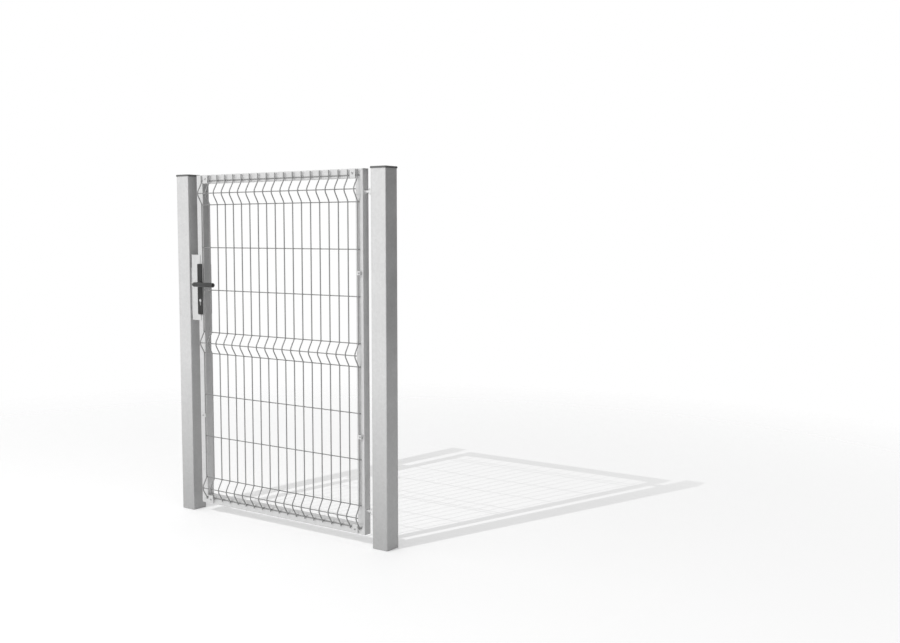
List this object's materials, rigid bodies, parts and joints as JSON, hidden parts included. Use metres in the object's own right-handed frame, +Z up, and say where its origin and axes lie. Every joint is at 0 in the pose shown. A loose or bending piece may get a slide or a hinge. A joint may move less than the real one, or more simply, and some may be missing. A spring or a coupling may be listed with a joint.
{
  "type": "pedestrian gate",
  "caption": "Single-leaf pedestrian gate: square posts, tubular frame filled with bent welded wire mesh, lock with a lever handle, swinging on eye-and-pin hinges.",
  "frame": {"origin": "middle of the hinge post's foot, at ground level", "axes": "+Z up; +X along the gate from the latch post to the hinge post; -Y toward the front, the side with the mesh's bends"},
  "size_m": [1.286, 0.1345, 1.619],
  "materials": {
    "galvanised_steel": "satin galvanised",
    "zinc_plated_steel": "bright zinc",
    "black_plastic": "matte",
    "black_aluminium": "satin black coating",
    "nickel_brass": "satin nickel plating"
  },
  "bodies": {
    "posts": {"hinge_post": "galvanised_steel", "latch_post": "galvanised_steel", "hinge_post_cap": "black_plastic", "latch_post_cap": "black_plastic", "upper_hinge_bracket": "zinc_plated_steel", "lower_hinge_bracket": "zinc_plated_steel", "upper_hinge_pin": "zinc_plated_steel", "lower_hinge_pin": "zinc_plated_steel", "strike_plate": "zinc_plated_steel"},
    "handle": {"front_lever": "black_aluminium", "spindle": "zinc_plated_steel"},
    "leaf": {"hinge_stile": "galvanised_steel", "latch_stile": "galvanised_steel", "top_rail": "galvanised_steel", "bottom_rail": "galvanised_steel", "mesh_panel": "galvanised_steel", "top_left_clip": "galvanised_steel", "top_right_clip": "galvanised_steel", "bottom_left_clip": "galvanised_steel", "bottom_right_clip": "galvanised_steel", "hinge_upper_clip": "galvanised_steel", "hinge_lower_clip": "galvanised_steel", "latch_lower_clip": "galvanised_steel", "lock_case": "galvanised_steel", "front_lock_plate": "galvanised_steel", "back_lock_plate": "galvanised_steel", "upper_hinge_eye": "zinc_plated_steel", "lower_hinge_eye": "zinc_plated_steel", "latch_bolt": "zinc_plated_steel", "dead_bolt": "zinc_plated_steel", "front_escutcheon": "black_aluminium", "back_escutcheon": "black_aluminium", "lock_cylinder": "nickel_brass"}
  },
  "joints": [
    {"name": "leaf_swing", "type": "hinge", "parent": "posts", "child": "leaf", "pos_m": [-0.066, -0.003, 0], "axis": [0, 0, -1], "range_deg": [0, 90]},
    {"name": "lever_turn", "type": "hinge", "parent": "leaf", "child": "handle", "pos_m": [-1.0895, 0, 1.1], "axis": [0, 1, 0], "range_deg": [0, 40], "stiffness_Nm_per_rad": 1, "springref_deg": -34.38}
  ]
}
